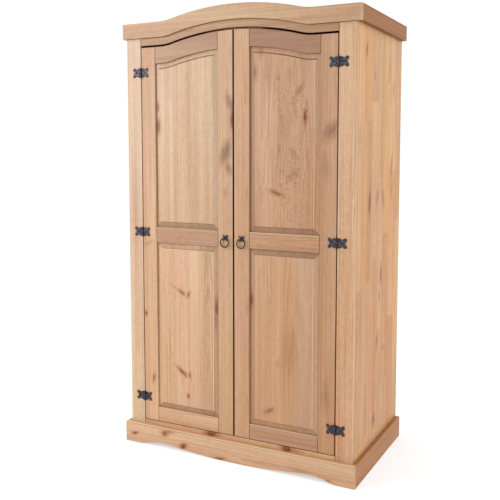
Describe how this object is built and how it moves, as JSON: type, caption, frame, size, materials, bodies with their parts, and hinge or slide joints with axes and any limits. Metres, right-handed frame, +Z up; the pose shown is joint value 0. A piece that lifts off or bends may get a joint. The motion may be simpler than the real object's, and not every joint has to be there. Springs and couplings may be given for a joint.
{
  "type": "wardrobe",
  "caption": "Free-standing pine wardrobe with an arched cornice, inset panelled doors on surface hinges, ring pulls, hat shelf, hanging rail and shaped plinth.",
  "frame": {"origin": "on the floor at the middle of the wardrobe's bounding box", "axes": "+Z up, -Y is the front that the doors face, +X is the right-hand side seen from the front"},
  "size_m": [1.06, 0.6, 1.8425],
  "materials": {
    "pine": "waxed knotty pine, satin, grain along each board",
    "pine_side": "waxed edge-glued pine staves, satin, grain upright",
    "plywood": "thin plain plywood, matt",
    "black_iron": "blackened iron, slightly uneven, satin",
    "catch_plastic": "off-white moulded plastic, matt"
  },
  "bodies": {
    "carcass": {"arched_top_rail": "pine", "back_muntin": "pine", "base_panel": "pine", "bottom_back_rail": "pine", "bottom_front_rail": "pine", "cornice_front": "pine", "cornice_left": "pine", "cornice_right": "pine", "door_catch": "catch_plastic", "hanging_rail": "pine", "hat_shelf": "pine", "left_back_sheet": "plywood", "left_bottom_hinge_frame_leaf": "black_iron", "left_bottom_hinge_pin": "black_iron", "left_front_stile": "pine", "left_middle_hinge_frame_leaf": "black_iron", "left_middle_hinge_pin": "black_iron", "left_rail_socket": "pine", "left_side_panel": "pine_side", "left_top_hinge_frame_leaf": "black_iron", "left_top_hinge_pin": "black_iron", "plinth_front": "pine", "plinth_left": "pine", "plinth_right": "pine", "right_back_sheet": "plywood", "right_bottom_hinge_frame_leaf": "black_iron", "right_bottom_hinge_pin": "black_iron", "right_front_stile": "pine", "right_middle_hinge_frame_leaf": "black_iron", "right_middle_hinge_pin": "black_iron", "right_rail_socket": "pine", "right_side_panel": "pine_side", "right_top_hinge_frame_leaf": "black_iron", "right_top_hinge_pin": "black_iron", "top_back_rail": "pine", "top_panel": "pine"},
    "left_door": {"left_bottom_hinge_door_leaf": "black_iron", "left_door_bottom_rail": "pine", "left_door_hinge_stile": "pine", "left_door_lower_panel": "pine", "left_door_meeting_stile": "pine", "left_door_mid_rail": "pine", "left_door_top_rail": "pine", "left_door_upper_panel": "pine", "left_middle_hinge_door_leaf": "black_iron", "left_pull_plate": "black_iron", "left_top_hinge_door_leaf": "black_iron"},
    "right_door": {"right_bottom_hinge_door_leaf": "black_iron", "right_door_bottom_rail": "pine", "right_door_hinge_stile": "pine", "right_door_lower_panel": "pine", "right_door_meeting_stile": "pine", "right_door_mid_rail": "pine", "right_door_top_rail": "pine", "right_door_upper_panel": "pine", "right_middle_hinge_door_leaf": "black_iron", "right_pull_plate": "black_iron", "right_top_hinge_door_leaf": "black_iron"},
    "left_ring": {"left_pull_ring": "black_iron"},
    "right_ring": {"right_pull_ring": "black_iron"}
  },
  "joints": [
    {"name": "left_door_hinge", "type": "hinge", "parent": "carcass", "child": "left_door", "pos_m": [-0.4385, -0.2845, 0.928], "axis": [0, 0, -1], "range_deg": [0, 170]},
    {"name": "right_door_hinge", "type": "hinge", "parent": "carcass", "child": "right_door", "pos_m": [0.4385, -0.2845, 0.928], "axis": [0, 0, 1], "range_deg": [0, 170]},
    {"name": "left_ring_swing", "type": "hinge", "parent": "left_door", "child": "left_ring", "pos_m": [-0.037, -0.2885, 0.922], "axis": [-1, 0, 0], "range_deg": [0, 100]},
    {"name": "right_ring_swing", "type": "hinge", "parent": "right_door", "child": "right_ring", "pos_m": [0.037, -0.2885, 0.922], "axis": [-1, 0, 0], "range_deg": [0, 100]}
  ]
}
